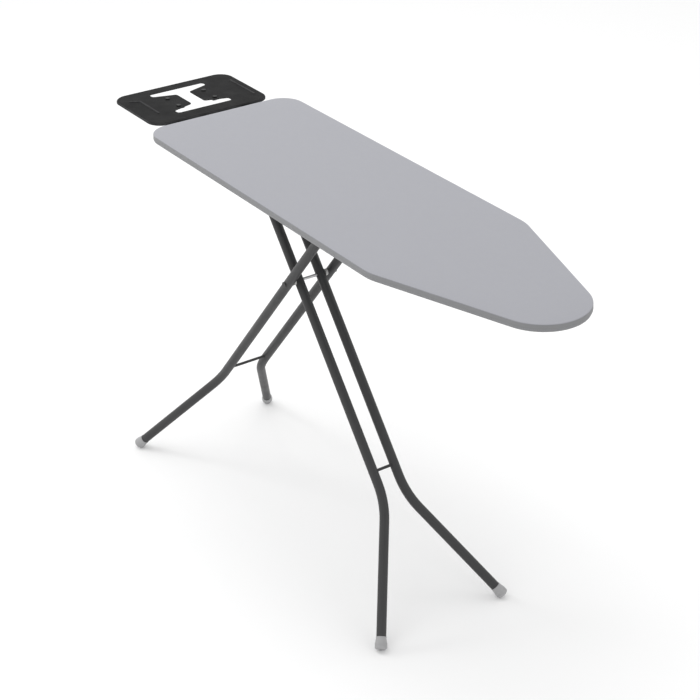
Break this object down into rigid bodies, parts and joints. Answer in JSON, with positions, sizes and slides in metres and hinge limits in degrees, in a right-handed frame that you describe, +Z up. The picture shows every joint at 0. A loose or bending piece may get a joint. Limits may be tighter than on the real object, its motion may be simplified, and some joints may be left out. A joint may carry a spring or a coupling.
{
  "type": "ironing board",
  "caption": "Padded ironing board on a crossed-leg stand that folds flat, with a side lever that frees the height and a metal iron rest at the wide end.",
  "frame": {"origin": "on the floor, under the middle of the object's box, standing at full height", "axes": "+X toward the rounded nose, +Y to the side of the release lever, +Z up"},
  "size_m": [1.2899, 0.3614, 0.801],
  "materials": {
    "cover_fabric": "woven cotton with a metallised face, satin",
    "border_fabric": "woven edge band",
    "felt": "needled felt",
    "frame_steel": "charcoal powder coat, fine texture",
    "rest_steel": "heat-resistant charcoal powder coat, satin",
    "foot_plastic": "moulded grey",
    "bright_steel": "zinc plated",
    "black_steel": "black oxide screws",
    "dark_plastic": "moulded black",
    "spacer_plastic": "moulded natural nylon",
    "pad_rubber": "moulded"
  },
  "bodies": {
    "board": {"cover_top": "cover_fabric", "felt_pad": "felt", "cover_border": "border_fabric", "deck_panel": "frame_steel", "edge_frame": "frame_steel", "rail_left": "frame_steel", "rail_right": "frame_steel", "hinge_bracket": "frame_steel", "guide_left": "frame_steel", "guide_right": "frame_steel", "guide_plate_rear": "frame_steel", "guide_plate_front": "frame_steel", "rear_cross_plate": "frame_steel", "bar_pin": "bright_steel", "lever_spring": "bright_steel", "iron_rest_plate": "rest_steel", "rest_arm_left": "frame_steel", "rest_arm_right": "frame_steel", "rest_screws": "black_steel", "rest_nuts": "bright_steel", "arm_rivets": "frame_steel"},
    "front_leg": {"front_tube_left": "frame_steel", "front_tube_right": "frame_steel", "front_foot_left": "foot_plastic", "front_foot_right": "foot_plastic", "front_brace_rod": "frame_steel", "hinge_rod": "bright_steel", "hinge_rod_caps": "dark_plastic", "pivot_rod": "bright_steel", "pivot_rod_caps": "frame_steel", "pivot_spacers": "spacer_plastic"},
    "rear_leg": {"rear_tube_left": "frame_steel", "rear_tube_right": "frame_steel", "rear_foot_left": "foot_plastic", "rear_foot_right": "foot_plastic", "top_rod": "bright_steel", "top_rod_caps": "dark_plastic", "rear_brace_rod": "frame_steel", "guide_bushes": "spacer_plastic"},
    "release": {"pressure_bar": "frame_steel", "friction_pad": "pad_rubber", "release_lever": "frame_steel", "lever_grip": "dark_plastic"}
  },
  "joints": [
    {"name": "leg_fold", "type": "hinge", "parent": "board", "child": "front_leg", "pos_m": [-0.28, 0, 0.765], "axis": [0, -1, 0], "range_deg": [0, 49.4]},
    {"name": "leg_crossing", "type": "hinge", "parent": "front_leg", "child": "rear_leg", "pos_m": [-0.116, 0, 0.56248], "axis": [0, -1, 0], "range_deg": [-98.8, 0]},
    {"name": "height_release", "type": "hinge", "parent": "board", "child": "release", "pos_m": [0.046, -0.013, 0.7745], "axis": [1, 0, 0], "range_deg": [0, 3.5], "stiffness_Nm_per_rad": 1.5, "springref_deg": -14.32}
  ],
  "couplings": [
    {"joint": "leg_crossing", "follows": "leg_fold", "ratio": -2}
  ]
}
